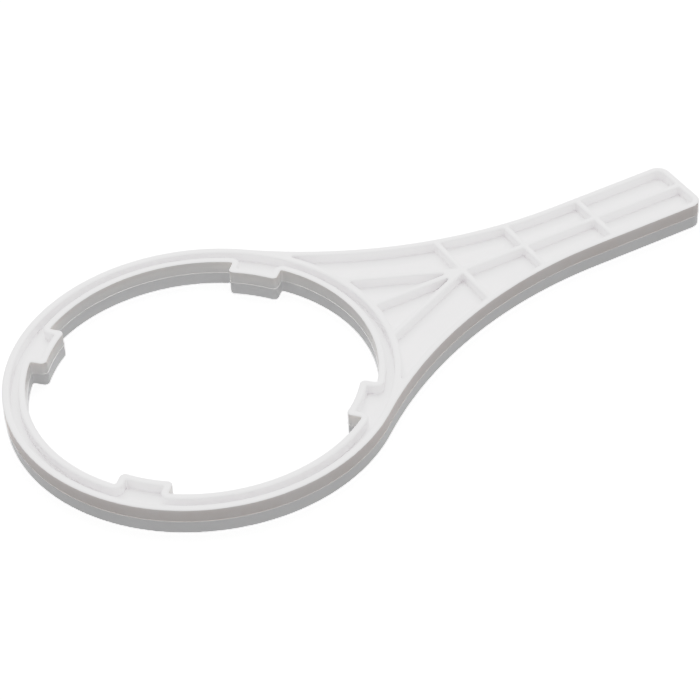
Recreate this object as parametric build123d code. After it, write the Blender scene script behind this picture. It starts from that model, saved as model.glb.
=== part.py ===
from build123d import *
import math
import os

# Wrench for the screw-on bowl of a water filter housing: one plastic moulding.
# Origin: on the ring's axis, in the plane of the bottom faces. +X runs along the handle, +Z is up.
# Left is +Y, right is -Y, near is the handle's side of the ring, far is the other side.
# The moulding is divided into its own features, which meet face to face.

# ---- driving dimensions (mm, degrees)
THICK = 8.4              # height of every wall and rib
WEB = 2.25               # thickness of the floor at mid-height
R_OUT = 55.5             # ring, outside radius
R_BORE = 49.1            # ring, inside radius between the lugs
OUTER_WALL = 2.05        # ring, outer wall
INNER_WALL = 1.95        # ring, inner wall, and the wall that goes round each lug
R_LUG_TIP = 44.45        # radius at the lug tips
LUG_HALF_WIDTH = 7.35    # half of a lug's width, between its parallel sides
DIAGONALS = {"near_left": 45, "far_left": 135, "far_right": 225, "near_right": 315}
LUG_TURN = -1.0          # the four lugs are turned this much from the diagonals of the handle's line
LUG_TIP_ROUND = 1.4      # corner radius at a lug's tip
LUG_BASE_ROUND = 0.6     # corner radius where a lug leaves the bore
HANDLE_HALF = 11.05      # half of the handle's width
FLARE_X = 122.8          # where the straight handle begins to flare towards the ring
END_X = 161.7            # far end of the handle
END_ROUND = 3.9          # corner radius of the handle's end
SIDE_WALL = 1.9          # outer wall of gusset and handle
RIB = 1.7                # thickness of every rib
CROSS_RIB_X = (84.65, 105.75, 130.45)
FAN_ANGLE = 24.5         # slant of the two fan ribs, from the centre rib
POCKET_ROUND = 0.5       # corner radius of the pockets between the ribs and inside the lugs
EDGE_ROUND = 0.5         # rounding of the top and bottom edges of walls and ribs
PARTING_PROUD = 0.12     # parting line: how far it stands out of the wall
PARTING_TALL = 0.3       # parting line: height

# ---- values that follow
MID_Z = THICK / 2
R_GROOVE_OUT = R_OUT - OUTER_WALL
LUGS = {name: LUG_TURN + diagonal for name, diagonal in DIAGONALS.items()}
HUB_X = CROSS_RIB_X[0]
# The flare is an arc tangent to the ring's outside and to the handle's straight side.
FLARE_R = (FLARE_X**2 + HANDLE_HALF**2 - R_OUT**2) / (2 * (R_OUT - HANDLE_HALF))
FLARE_CY = HANDLE_HALF + FLARE_R
FLARE_ANGLE = math.degrees(math.atan2(FLARE_CY, FLARE_X))

# ---- where one feature ends and the next begins
QUARTERS = {"near": 0, "left": 90, "far": 180, "right": 270}
SIDES = {"left": 1, "right": -1}
LUG_SEAM = 12.5          # half angle of the sector that counts as a lug
SIDE_SEAM = 6.5          # angle round the flare's centre, from ring to gusset wall
ROOT = 0.7               # length of a rib's root, which counts with the wall that it stands on
HUB_START = 78.5         # the hub, where five ribs meet, begins here
HUB_HALF_WIDTH = 4.2     # and reaches this far to each side
FAN_GAP = 0.35           # beside the centre rib, inside the narrow gap before the fan ribs
BIG = 400                # larger than the part


def polar(radius, angle):
    return (radius * math.cos(math.radians(angle)), radius * math.sin(math.radians(angle)))


def outline(inset):
    """Plan of the whole wrench, moved inwards by inset."""
    ring_r = R_OUT - inset
    half = HANDLE_HALF - inset
    end = END_X - inset
    corner = END_ROUND - inset
    flare_mid_angle = math.radians((180 + FLARE_ANGLE + 270) / 2)
    flare_mid_x = FLARE_X + (FLARE_R + inset) * math.cos(flare_mid_angle)
    flare_mid_y = FLARE_CY + (FLARE_R + inset) * math.sin(flare_mid_angle)
    tangent_x, tangent_y = polar(ring_r, FLARE_ANGLE)
    corner_mid = corner * math.sqrt(0.5)
    edges = []
    edges.append(ThreePointArc((tangent_x, tangent_y), (-ring_r, 0), (tangent_x, -tangent_y)))
    for side in (1, -1):
        corner_y = side * (half - corner)
        edges.append(ThreePointArc((tangent_x, side * tangent_y), (flare_mid_x, side * flare_mid_y),
                                   (FLARE_X, side * half)))
        edges.append(Line((FLARE_X, side * half), (end - corner, side * half)))
        edges.append(ThreePointArc((end - corner, side * half),
                                   (end - corner + corner_mid, corner_y + side * corner_mid),
                                   (end, corner_y)))
    edges.append(Line((end, half - corner), (end, corner - half)))
    return Face(Wire(edges))


def sector(centre_angle, half_angle):
    """Wedge about an angle."""
    corners = [(0, 0), polar(BIG, -half_angle), polar(BIG, half_angle)]
    return Rot(0, 0, centre_angle) * make_face(Polyline(*corners, close=True))


def bar(centre_x, centre_y, length, width, angle=0):
    """Rectangle in plan."""
    return Pos(centre_x, centre_y) * Rot(0, 0, angle) * Rectangle(length, width)


def strip(half_width, start, end):
    """Plan strip along the handle, from start to end."""
    return bar((start + end) / 2, 0, end - start, 2 * half_width)


def socket(wall):
    """Opening of the ring with its four lugs, moved outwards by wall."""
    bore_r = R_BORE + wall
    tip_r = R_LUG_TIP + wall
    opening = Circle(bore_r)
    for angle in LUGS.values():
        opening -= Rot(0, 0, angle) * strip(LUG_HALF_WIDTH - wall, 0, BIG) - Circle(tip_r)
    base_corners = [v for v in opening.vertices() if abs(math.hypot(v.X, v.Y) - bore_r) < 0.01]
    opening = fillet(base_corners, LUG_BASE_ROUND + wall)
    tip_corners = [v for v in opening.vertices() if abs(math.hypot(v.X, v.Y) - tip_r) < 0.01]
    return fillet(tip_corners, max(LUG_TIP_ROUND - wall, POCKET_ROUND))


def groove():
    """Plan of the ring's groove, which widens into the lugs."""
    return Circle(R_GROOVE_OUT) - socket(INNER_WALL)


def rib_plan():
    """Plan of the centre rib, the fan ribs and the cross ribs, longer than they end up."""
    ribs = bar(END_X / 2, 0, END_X, RIB)
    for x in CROSS_RIB_X:
        ribs += bar(x, 0, RIB, BIG)
    for side in (1, -1):
        x, y = polar(HUB_X / 2, 180 - side * FAN_ANGLE)
        ribs += bar(HUB_X + x, y, HUB_X, RIB, -side * FAN_ANGLE)
    return ribs


def runs_on(vertex):
    """True where a pocket's outline runs on smoothly: the start of the flare, the round of the end."""
    at_flare = abs(vertex.X - FLARE_X) < 0.01
    at_end = vertex.X > END_X - END_ROUND - 0.01 and abs(vertex.Y) > RIB
    return at_flare or at_end


def pockets():
    """Plans of the pockets of the gusset and handle, between their walls and ribs."""
    plans = outline(SIDE_WALL) - Circle(R_OUT) - rib_plan()
    rounded = []
    for plan in plans.faces():
        corners = [v for v in plan.vertices() if not runs_on(v)]
        rounded.append(plan.fillet_2d(POCKET_ROUND, corners))
    return rounded


def prism(plan, bottom=-1.0, height=THICK + 2):
    """Plan raised into a solid. By default it is taller than the part, for cutting."""
    return extrude(Pos(0, 0, bottom) * plan, height)


def wall(plan):
    """Walls of the full height with their top and bottom edges rounded."""
    solid = prism(plan, 0, THICK)
    rims = [e for e in solid.edges() if min(abs(e.center().Z), abs(e.center().Z - THICK)) < 0.001]
    return fillet(rims, EDGE_ROUND)


def parting_line(plan):
    """Low ridge at mid-height, where the two halves of the mould met."""
    return prism(plan, MID_Z - PARTING_TALL / 2, PARTING_TALL)


def floor(plan):
    """Floor at mid-height."""
    return prism(plan, MID_Z - WEB / 2, WEB)


def outer_walls(pocket_plans):
    """Ring's outer wall, gusset and handle walls and all ribs, in one."""
    plan = outline(0) - Circle(R_GROOVE_OUT)
    for pocket in pocket_plans:
        plan -= pocket
    return wall(plan) + parting_line(outline(-PARTING_PROUD) - outline(SIDE_WALL / 2))


def inner_wall():
    """Ring's inner wall, which runs round all four lugs."""
    ridge = parting_line(socket(INNER_WALL / 4) - socket(-PARTING_PROUD))
    return wall(socket(INNER_WALL) - socket(0)) + ridge


def half_plane(side, offset):
    """Everything to one side of the centre rib: 1 for left, -1 for right."""
    return bar(0, side * (offset + BIG / 2), 2 * BIG, BIG)


def ring_region():
    """Ring, with the roots of the ribs and of the gusset's walls, whose seams cross them squarely."""
    region = Circle(R_OUT + ROOT)
    for side in SIDES.values():
        region += Pos(FLARE_X, side * FLARE_CY) * sector(180 + side * FLARE_ANGLE, SIDE_SEAM)
    return region


def end_region():
    """End of the handle from where its corners begin, with the root of the centre rib."""
    corners = strip(BIG / 2, END_X - END_ROUND, BIG)
    return corners - strip(RIB / 2 + ROOT, 0, END_X - SIDE_WALL - ROOT)


def split_walls(walls):
    """Divides the outer walls into their features. Each cut crosses a plain stretch of wall or rib."""
    ring = ring_region()
    end = end_region()
    hub = strip(HUB_HALF_WIDTH, HUB_START, HUB_X + RIB / 2 + ROOT)
    between = outline(SIDE_WALL + ROOT) - ring - hub - end
    centre_line = strip(RIB / 2 + ROOT, 0, BIG)
    pieces = {
        "ring_outer_wall": walls & prism(ring),
        "rib_hub": walls & prism(hub),
        "end_wall": walls & prism(end),
        "centre_rib_gusset": walls & prism(strip(RIB / 2 + FAN_GAP, 0, HUB_START) & between),
        "centre_rib_handle": walls & prism(centre_line & between & strip(BIG / 2, HUB_X, BIG)),
    }
    before_hub = strip(BIG / 2, 0, HUB_START)
    side_regions = prism(Circle(BIG / 2) - outline(SIDE_WALL + ROOT) - ring - end)
    for name, side in SIDES.items():
        pieces["side_wall_" + name] = walls & side_regions & prism(half_plane(side, 0))
        fan = between & before_hub & half_plane(side, RIB / 2 + FAN_GAP)
        pieces["fan_rib_" + name] = walls & prism(fan)
    for number, x in enumerate(CROSS_RIB_X, start=1):
        across = bar(x, 0, RIB + 2 * ROOT, BIG) & between
        pieces[f"cross_rib_{number}"] = walls & prism(across - centre_line)
    return pieces


def split_bore(bore):
    """Divides the ring's inner wall into the lugs and the walls between them."""
    pieces = {}
    for name, angle in LUGS.items():
        pieces["lug_" + name] = bore & prism(sector(angle, LUG_SEAM))
    for name, quarter in QUARTERS.items():
        pieces["bore_wall_" + name] = bore & prism(sector(LUG_TURN + quarter, 45 - LUG_SEAM))
    return pieces


def floors(pocket_plans):
    """Floors of the groove and of the pockets."""
    gusset = [floor(plan) for plan in pocket_plans if plan.center().X < HUB_X]
    handle = [floor(plan) for plan in pocket_plans if plan.center().X > HUB_X]
    return {"ring_web": floor(groove()), "gusset_web": gusset, "handle_web": handle}


def solids_of(shape):
    """All the solids of a shape or of a list of shapes."""
    shapes = shape if isinstance(shape, list) else [shape]
    return [solid for one in shapes for solid in one.solids()]


pocket_plans = pockets()
nodes = split_walls(outer_walls(pocket_plans))
nodes.update(split_bore(inner_wall()))
nodes.update(floors(pocket_plans))

os.makedirs("parts", exist_ok=True)
for name, shape in nodes.items():
    export_step(Compound(children=solids_of(shape)), f"parts/{name}.step")
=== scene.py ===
import math

import bpy
from mathutils import Matrix, Vector


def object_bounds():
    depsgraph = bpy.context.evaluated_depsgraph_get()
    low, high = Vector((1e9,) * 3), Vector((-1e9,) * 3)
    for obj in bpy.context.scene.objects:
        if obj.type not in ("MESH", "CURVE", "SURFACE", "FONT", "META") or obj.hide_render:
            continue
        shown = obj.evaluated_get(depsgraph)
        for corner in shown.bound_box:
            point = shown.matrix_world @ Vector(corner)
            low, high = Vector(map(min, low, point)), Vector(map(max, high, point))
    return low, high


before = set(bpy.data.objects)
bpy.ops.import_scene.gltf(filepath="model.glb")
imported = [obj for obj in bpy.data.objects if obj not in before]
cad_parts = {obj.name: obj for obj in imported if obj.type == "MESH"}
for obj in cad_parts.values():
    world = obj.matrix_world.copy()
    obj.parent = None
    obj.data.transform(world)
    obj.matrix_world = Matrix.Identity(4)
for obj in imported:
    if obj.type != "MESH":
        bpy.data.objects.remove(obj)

# Wrench for the screw-on bowl of a water filter housing: one white plastic moulding.
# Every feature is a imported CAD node. Here they get their material, light, table and camera.
# Metres, in the row's frame: +X along the handle, +Z up, the ring's axis through the origin.

MM = 0.001
WHITE = (1.0, 1.0, 1.0, 1.0)

# ---- camera
AZIMUTH = -27.245        # degrees; 0 looks along +Y
ELEVATION = 40.231
ROLL = -3.319
DISTANCE = 720.2 * MM
TARGET = Vector((43.82, -5.23, 0.0)) * MM
SENSOR = 36.0            # mm
LENS = 130.33            # mm
CLIP_START = 0.01
CLIP_END = 20.0

# ---- the moulding
LO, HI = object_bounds()
MID_Z = (LO.z + HI.z) / 2
HALF_HEIGHT = HI.z - MID_Z
R_OUT = 55.5 * MM        # ring, outside
R_BORE = 49.1 * MM       # ring, inside
R_LUG_TIP = 44.45 * MM
LUG_HALF_WIDTH = 7.35 * MM
LUG_ANGLE = math.radians(44.0)       # the first of the four lugs
LUG_PITCH = math.pi / 2              # angle from one lug to the next
HANDLE_HALF = 11.05 * MM
FLARE_X = 122.8 * MM     # where the handle begins to flare towards the ring, in an arc
FLARE_R = (FLARE_X**2 + HANDLE_HALF**2 - R_OUT**2) / (2 * (R_OUT - HANDLE_HALF))
FLARE_CY = HANDLE_HALF + FLARE_R
TANGENT_X = R_OUT * FLARE_X / math.hypot(FLARE_X, FLARE_CY)

# ---- where the painted shade of the outside and of the bore lies
SHADE_ZONE_FULL = 0.54 * MM    # depth into a wall to which the painted shade is full; walls are twice as thick as SHADE_ZONE_END
SHADE_ZONE_END = 0.9 * MM      # depth at which it has gone
SHADE_ZONE_TOP_START = HALF_HEIGHT - 0.45 * MM     # height from the middle where the painted shade begins to fade
SHADE_ZONE_TOP_END = HALF_HEIGHT - 0.15 * MM
HALVES_MEET = 0.1 * MM   # the painted shades of the upper and lower halves change over within this distance from the middle
PARTING_FULL = 0.1 * MM  # half the height of the painted highlight on the parting line
PARTING_END = 0.2 * MM
PARTING_HIGHLIGHT_SHARE = 0.9      # how much the painted highlight on the parting line covers the colour beneath

# ---- the plastic: colours, some of them painted light and shade
BODY = (0.972, 0.963, 0.968, 1.0)                # groove, pockets, floors and edges
# painted shade: the outside walls darker than the plastic inside, the upper half warmer and darker,
# lightening towards the top edge
OUTSIDE_LOWER_SHADE = (0.875, 0.875, 0.880, 1.0)
OUTSIDE_UPPER_SHADE = (0.868, 0.818, 0.795, 1.0)
OUTSIDE_UPPER_EDGE_SHADE = (0.940, 0.895, 0.875, 1.0)
# painted light and shade in the bore: the upper half lighter near the middle and darker towards the top
# edge, the lower half darker near the middle
BORE_UPPER_MIDDLE_LIGHT = (0.990, 0.983, 0.975, 1.0)
BORE_UPPER_EDGE_SHADE = (0.925, 0.900, 0.880, 1.0)
BORE_LOWER_MIDDLE_SHADE = (0.900, 0.900, 0.905, 1.0)
BORE_LOWER_EDGE_SHADE = (0.965, 0.965, 0.970, 1.0)
# painted highlight along the parting line
PARTING_HIGHLIGHT = (0.995, 0.992, 0.992, 1.0)
FLOW_MARK = (0.960, 0.955, 0.958, 1.0)
FLOW_SHARE = 0.3         # most that a flow mark covers
CLOUD = (0.930, 0.922, 0.925, 1.0)
CLOUD_SHARE = 0.2

# ---- the plastic: marks, their size and their height
FLOW_SIZE = 16 * MM
FLOW_HEIGHT = 0.06 * MM
CLOUD_SIZE = 3.0 * MM
PEEL_SIZE = 0.9 * MM
PEEL_HEIGHT = 0.008 * MM
GRAIN_SIZE = 0.16 * MM
GRAIN_HEIGHT = 0.002 * MM
DULL = (0.40, 0.50)      # roughness, least and most, with the flow
DULL_PEEL = 0.04         # and this much more or less with the orange peel
IOR = 1.49

# ---- table and light
TABLE_HALF = 2.0
TABLE_GAP = 0.02 * MM    # below the moulding
TABLE_GREY = (0.25, 0.25, 0.25, 1.0)
TABLE_GLOW = 0.86
SKY_HORIZON = 0.55
SKY_ZENITH = 0.68
SKY_BELOW = 0.05
SKY_BEYOND_RING = 0.90   # share of the light left at the -X horizon
HORIZON_SOFT = 0.02
BACKDROP = 1.0           # the sky as the camera sees it
LAMP_DISTANCE = 2.2
BEHIND_ELEVATION = 55
BEHIND_SIZE = 1.6
BEHIND_POWER = 11.0
BELOW_SIZE = 0.8
BELOW_POWER = 22.0
TONES = ((0.36, 0.38), (0.59, 0.735), (0.80, 0.825))     # display tone: plain, and as shown


def aim(direction_az, direction_el, roll=0.0):
    """Axes of an object that looks at the target from this azimuth and elevation: right, up and back."""
    azimuth = math.radians(direction_az)
    elevation = math.radians(direction_el)
    back = Vector((
        math.sin(azimuth) * math.cos(elevation),
        -math.cos(azimuth) * math.cos(elevation),
        math.sin(elevation),
    ))
    level_right = Vector((math.cos(azimuth), math.sin(azimuth), 0.0))
    level_up = back.cross(level_right)
    turn = math.radians(roll)
    right = math.cos(turn) * level_right + math.sin(turn) * level_up
    up = math.cos(turn) * level_up - math.sin(turn) * level_right
    return right, up, back


def placed(obj, direction_az, direction_el, distance, roll=0.0):
    """Puts a camera or lamp at a distance from the target, looking at it."""
    right, up, back = aim(direction_az, direction_el, roll)
    axes = Matrix((right, up, back)).transposed().to_4x4()
    obj.matrix_world = Matrix.Translation(TARGET + back * distance) @ axes
    bpy.context.scene.collection.objects.link(obj)
    return obj


def camera():
    data = bpy.data.cameras.new("camera")
    data.sensor_fit = "HORIZONTAL"
    data.sensor_width = SENSOR
    data.lens = LENS
    data.clip_start = CLIP_START
    data.clip_end = CLIP_END
    cam = placed(bpy.data.objects.new("camera", data), AZIMUTH, ELEVATION, DISTANCE, ROLL)
    bpy.context.scene.camera = cam


# ---- node helpers
class Graph:
    """A material's or world's node tree, with short calls for the nodes used here."""

    def __init__(self, tree):
        self.tree = tree
        self.tree.nodes.clear()

    def node(self, kind, **settings):
        made = self.tree.nodes.new(kind)
        for name, value in settings.items():
            setattr(made, name, value)
        return made

    def put(self, source, socket):
        """Links an output to an input, or sets the input's value."""
        if isinstance(source, bpy.types.NodeSocket):
            self.tree.links.new(source, socket)
        else:
            socket.default_value = source

    def noise(self, place, size, detail=2.0, roughness=0.5):
        """Noise with features of about the given size in metres, from 0 to 1."""
        made = self.node("ShaderNodeTexNoise")
        self.put(place, made.inputs["Vector"])
        made.inputs["Scale"].default_value = 1.0 / size
        made.inputs["Detail"].default_value = detail
        made.inputs["Roughness"].default_value = roughness
        return made.outputs["Fac"]

    def math(self, operation, a, b=0.0):
        made = self.node("ShaderNodeMath", operation=operation)
        self.put(a, made.inputs[0])
        self.put(b, made.inputs[1])
        return made.outputs[0]

    def length(self, a, b):
        """Length of a vector from its two parts."""
        squares = [self.math("MULTIPLY", value, value) for value in (a, b)]
        return self.math("POWER", self.math("ADD", *squares), 0.5)

    def ramp(self, value, low, high, to_low=0.0, to_high=1.0, smooth=True):
        """Value from low to high mapped to to_low to to_high, held at the ends."""
        made = self.node("ShaderNodeMapRange", interpolation_type="SMOOTHSTEP" if smooth else "LINEAR")
        self.put(value, made.inputs["Value"])
        made.inputs["From Min"].default_value = low
        made.inputs["From Max"].default_value = high
        made.inputs["To Min"].default_value = to_low
        made.inputs["To Max"].default_value = to_high
        return made.outputs["Result"]

    def mix(self, factor, a, b):
        """Colour from a, at factor 0, to b, at 1."""
        made = self.node("ShaderNodeMix", data_type="RGBA")
        self.put(factor, made.inputs["Factor"])
        self.put(a, made.inputs[6])
        self.put(b, made.inputs[7])
        return made.outputs[2]

    def bump(self, height, distance, below=None):
        made = self.node("ShaderNodeBump")
        self.put(height, made.inputs["Height"])
        made.inputs["Distance"].default_value = distance
        if below is not None:
            self.put(below, made.inputs["Normal"])
        return made.outputs["Normal"]


# ---- material of the moulding
def depth_from_outline(graph, x, y, radius):
    """How far inside the wrench's outline a point is, in plan."""
    across = graph.math("SUBTRACT", FLARE_CY, graph.math("ABSOLUTE", y))
    along = graph.math("MAXIMUM", graph.math("SUBTRACT", FLARE_X, x), 0.0)
    from_side = graph.math("SUBTRACT", graph.length(across, along), FLARE_R)
    from_ends = graph.math("MINIMUM", graph.math("SUBTRACT", HI.x, x), graph.math("SUBTRACT", x, TANGENT_X))
    handle = graph.math("MINIMUM", from_side, from_ends)
    return graph.math("MAXIMUM", graph.math("SUBTRACT", R_OUT, radius), handle)


def depth_from_socket(graph, x, y, radius):
    """How far outside the ring's opening, with its four lugs, a point is, in plan."""
    angle = graph.math("SUBTRACT", graph.math("ARCTAN2", y, x), LUG_ANGLE)
    off_lug = graph.math("SINE", graph.math("PINGPONG", angle, LUG_PITCH / 2))
    from_lug_side = graph.math("SUBTRACT", LUG_HALF_WIDTH, graph.math("MULTIPLY", off_lug, radius))
    lug = graph.math("MINIMUM", graph.math("SUBTRACT", radius, R_LUG_TIP), from_lug_side)
    return graph.math("MAXIMUM", graph.math("SUBTRACT", radius, R_BORE), lug)


def shade_zones(graph, x, y, from_middle):
    """Where the outside faces are, and where the bore's faces are, which get painted shade: 1 there, 0 on
    every other face.
    """
    radius = graph.length(x, y)
    below_edge = graph.ramp(from_middle, SHADE_ZONE_TOP_START, SHADE_ZONE_TOP_END, 1.0, 0.0)
    masks = []
    for depth in (depth_from_outline(graph, x, y, radius), depth_from_socket(graph, x, y, radius)):
        masks.append(graph.math("MULTIPLY", graph.ramp(depth, SHADE_ZONE_FULL, SHADE_ZONE_END, 1.0, 0.0), below_edge))
    return masks


def colour_with_painted_shade(graph, x, y, z):
    """Colour of each face, with painted light and shade. On the outside and in the bore the upper half is
    painted warmer; the outside is painted darker as shade, the bore lighter just above the middle and
    darker just below it, and the parting line gets a painted highlight.
    """
    upper = graph.ramp(z, MID_Z - HALVES_MEET, MID_Z + HALVES_MEET)
    from_middle = graph.math("ABSOLUTE", graph.math("SUBTRACT", z, MID_Z))
    on_outside, on_bore = shade_zones(graph, x, y, from_middle)
    near_edge = graph.ramp(from_middle, 0.5 * HALF_HEIGHT, HALF_HEIGHT)
    # painted shade on the outside, lighter towards the top edge
    outside_upper_shade = graph.mix(near_edge, OUTSIDE_UPPER_SHADE, OUTSIDE_UPPER_EDGE_SHADE)
    outside = graph.mix(upper, OUTSIDE_LOWER_SHADE, outside_upper_shade)
    towards_edge = graph.ramp(from_middle, 0.0, HALF_HEIGHT)
    # painted light above the middle of the bore, painted shade below it
    bore_upper_light = graph.mix(towards_edge, BORE_UPPER_MIDDLE_LIGHT, BORE_UPPER_EDGE_SHADE)
    bore_lower_shade = graph.mix(towards_edge, BORE_LOWER_MIDDLE_SHADE, BORE_LOWER_EDGE_SHADE)
    bore = graph.mix(upper, bore_lower_shade, bore_upper_light)
    shaded_colour = graph.mix(on_outside, graph.mix(on_bore, BODY, bore), outside)
    # painted highlight on the parting line
    on_parting_highlight = graph.ramp(from_middle, PARTING_FULL, PARTING_END, PARTING_HIGHLIGHT_SHARE, 0.0)
    return graph.mix(on_parting_highlight, shaded_colour, PARTING_HIGHLIGHT)


def white_plastic():
    """Satin white polypropylene, as moulded: faint flow marks, orange peel and fine grain, with painted
    light and shade on the outside, in the bore and on the parting line.
    """
    material = bpy.data.materials.new("white_plastic")
    material.use_nodes = True
    graph = Graph(material.node_tree)
    place = graph.node("ShaderNodeTexCoord").outputs["Object"]
    split = graph.node("ShaderNodeSeparateXYZ")
    graph.put(place, split.inputs["Vector"])

    flow = graph.noise(place, FLOW_SIZE, detail=4.0, roughness=0.55)
    cloud = graph.noise(place, CLOUD_SIZE)
    peel = graph.noise(place, PEEL_SIZE)
    grain = graph.noise(place, GRAIN_SIZE, roughness=0.6)

    # colour with the painted light and shade
    shaded_base = colour_with_painted_shade(graph, *split.outputs)
    flowed = graph.mix(graph.ramp(flow, 0.35, 0.7, 0.0, FLOW_SHARE), shaded_base, FLOW_MARK)
    colour = graph.mix(graph.ramp(cloud, 0.4, 0.75, 0.0, CLOUD_SHARE), flowed, CLOUD)
    dull_flow = graph.ramp(flow, 0.3, 0.7, *DULL)
    dull = graph.math("ADD", dull_flow, graph.ramp(peel, 0.3, 0.7, -DULL_PEEL, DULL_PEEL))
    waves = graph.bump(flow, FLOW_HEIGHT)
    peeled = graph.bump(peel, PEEL_HEIGHT, waves)
    grained = graph.bump(grain, GRAIN_HEIGHT, peeled)

    shader = graph.node("ShaderNodeBsdfPrincipled")
    graph.put(colour, shader.inputs["Base Color"])
    graph.put(dull, shader.inputs["Roughness"])
    graph.put(grained, shader.inputs["Normal"])
    graph.put(IOR, shader.inputs["IOR"])
    graph.put(shader.outputs["BSDF"], graph.node("ShaderNodeOutputMaterial").inputs["Surface"])
    return material


def dress(nodes, material):
    """Gives CAD nodes their material."""
    for name in nodes:
        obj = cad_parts[name]
        for slot in obj.material_slots:
            slot.material = material


# ---- table and light
def table_white():
    """White that glows a little, and is clear from below."""
    material = bpy.data.materials.new("table_white")
    material.use_nodes = True
    graph = Graph(material.node_tree)
    diffuse = graph.node("ShaderNodeBsdfDiffuse")
    graph.put(TABLE_GREY, diffuse.inputs["Color"])
    glow = graph.node("ShaderNodeEmission")
    graph.put(WHITE, glow.inputs["Color"])
    graph.put(TABLE_GLOW, glow.inputs["Strength"])
    lit = graph.node("ShaderNodeAddShader")
    graph.put(diffuse.outputs[0], lit.inputs[0])
    graph.put(glow.outputs[0], lit.inputs[1])
    clear = graph.node("ShaderNodeBsdfTransparent")
    one_sided = graph.node("ShaderNodeMixShader")
    graph.put(graph.node("ShaderNodeNewGeometry").outputs["Backfacing"], one_sided.inputs["Fac"])
    graph.put(lit.outputs[0], one_sided.inputs[1])
    graph.put(clear.outputs[0], one_sided.inputs[2])
    graph.put(one_sided.outputs[0], graph.node("ShaderNodeOutputMaterial").inputs["Surface"])
    return material


def floor():
    """Plain white table, seen from above only, with a very faint shadow of the moulding."""
    half = TABLE_HALF
    corners = [(-half, -half, 0), (half, -half, 0), (half, half, 0), (-half, half, 0)]
    mesh = bpy.data.meshes.new("floor")
    mesh.from_pydata(corners, [], [(0, 1, 2, 3)])
    mesh.materials.append(table_white())
    table = bpy.data.objects.new("floor", mesh)
    table.location.z = LO.z - TABLE_GAP
    bpy.context.scene.collection.objects.link(table)
    table.visible_diffuse = False
    table.visible_shadow = False


def sky():
    """Soft light tent: brightest overhead, dimmer at the sides and beyond the ring, dim from below."""
    world = bpy.data.worlds.new("tent")
    world.use_nodes = True
    bpy.context.scene.world = world
    graph = Graph(world.node_tree)
    split = graph.node("ShaderNodeSeparateXYZ")
    graph.put(graph.node("ShaderNodeTexCoord").outputs["Generated"], split.inputs["Vector"])
    over = graph.ramp(split.outputs["Z"], 0.0, 1.0, SKY_HORIZON, SKY_ZENITH, smooth=False)
    above = graph.ramp(split.outputs["Z"], -HORIZON_SOFT, HORIZON_SOFT)
    beyond_ring = graph.ramp(split.outputs["X"], -1.0, 0.0, SKY_BEYOND_RING, 1.0, smooth=False)
    from_above = graph.math("MULTIPLY", graph.math("MULTIPLY", over, beyond_ring), above)
    from_below = graph.math("MULTIPLY", graph.math("SUBTRACT", 1.0, above), SKY_BELOW)
    strength = graph.node("ShaderNodeMix", data_type="FLOAT")
    graph.put(graph.node("ShaderNodeLightPath").outputs["Is Camera Ray"], strength.inputs[0])
    graph.put(graph.math("ADD", from_above, from_below), strength.inputs[2])
    graph.put(BACKDROP, strength.inputs[3])
    background = graph.node("ShaderNodeBackground")
    graph.put(WHITE, background.inputs["Color"])
    graph.put(strength.outputs[0], background.inputs["Strength"])
    graph.put(background.outputs[0], graph.node("ShaderNodeOutputWorld").inputs["Surface"])


def softbox(name, azimuth, elevation, size, power):
    """Square lamp, aimed at the target."""
    data = bpy.data.lights.new(name, "AREA")
    data.shape = "SQUARE"
    data.size = size
    data.energy = power
    data.color = WHITE[:3]
    placed(bpy.data.objects.new(name, data), azimuth, elevation, LAMP_DISTANCE)


def photo_tones():
    """Plain display, with the middle tones lifted towards the highlights as a studio camera does."""
    view = bpy.context.scene.view_settings
    view.view_transform = "Standard"
    view.use_curve_mapping = True
    tones = view.curve_mapping
    for plain, shown in TONES:
        tones.curves[3].points.new(plain, shown)
    tones.update()


camera()
dress(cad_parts, white_plastic())
floor()
sky()
softbox("behind", AZIMUTH + 180, BEHIND_ELEVATION, BEHIND_SIZE, BEHIND_POWER)
softbox("below", AZIMUTH, -90, BELOW_SIZE, BELOW_POWER)
photo_tones()
